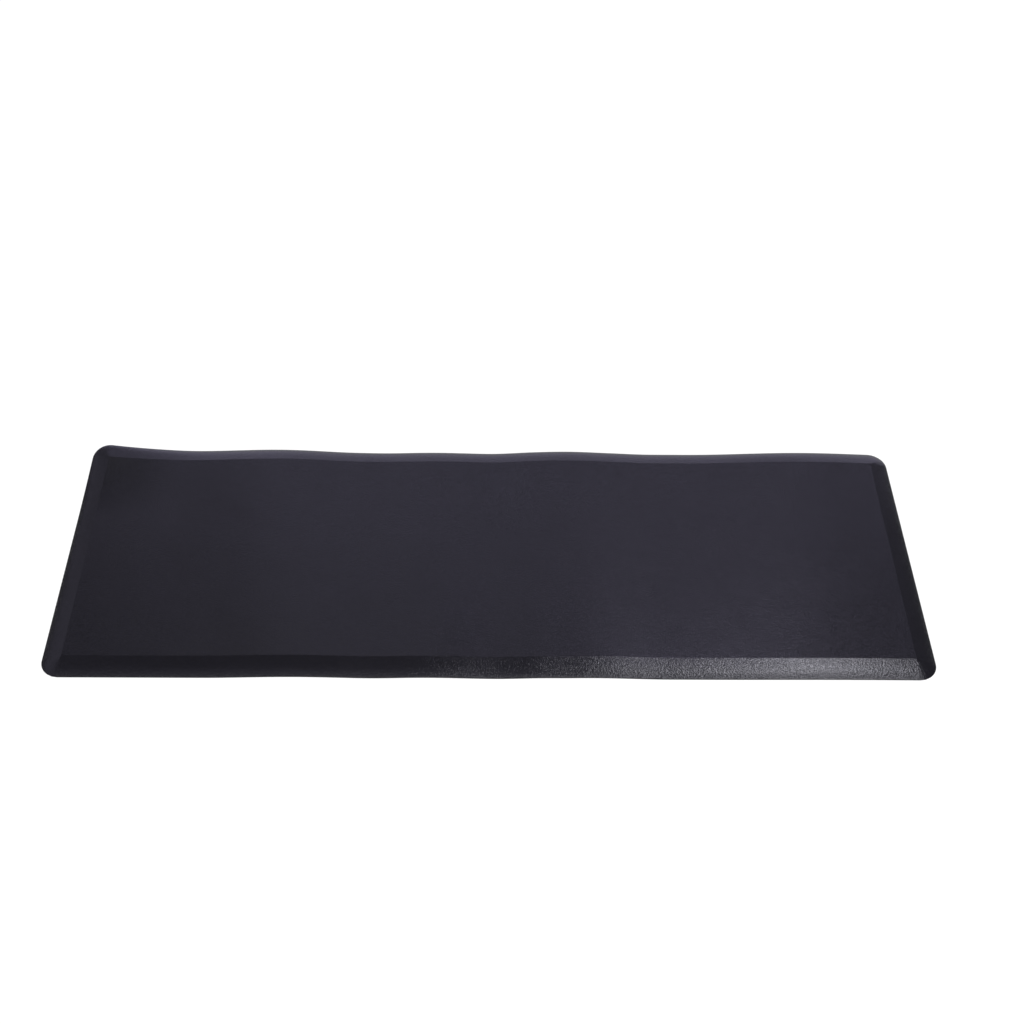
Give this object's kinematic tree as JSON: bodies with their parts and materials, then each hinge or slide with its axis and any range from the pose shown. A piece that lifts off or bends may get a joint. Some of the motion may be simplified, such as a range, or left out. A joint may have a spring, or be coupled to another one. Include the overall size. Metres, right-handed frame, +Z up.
{
  "type": "anti fatigue mat",
  "caption": "Long rectangular cushioned floor mat to stand on, with a flat grained top, rounded corners and a wide bevelled border on all sides.",
  "frame": {"origin": "middle of the mat's footprint, on the floor under it", "axes": "+X along the mat's long side towards its right end, +Y towards its back edge, with the user standing at the front edge, +Z up"},
  "size_m": [1.778, 0.61, 0.034],
  "materials": {
    "cover_skin": "black polyurethane skin embossed with a fine leather grain, satin",
    "soft_foam": "fine open-celled cut foam, matt",
    "firm_foam": "dense closed-cell foam, matt",
    "base_rubber": "black anti-slip sheet with a raised grip pattern underneath, matt"
  },
  "bodies": {
    "root": {"top_cover": "cover_skin", "comfort_foam": "soft_foam", "support_foam": "firm_foam", "base_sheet": "base_rubber"}
  },
  "joints": []
}
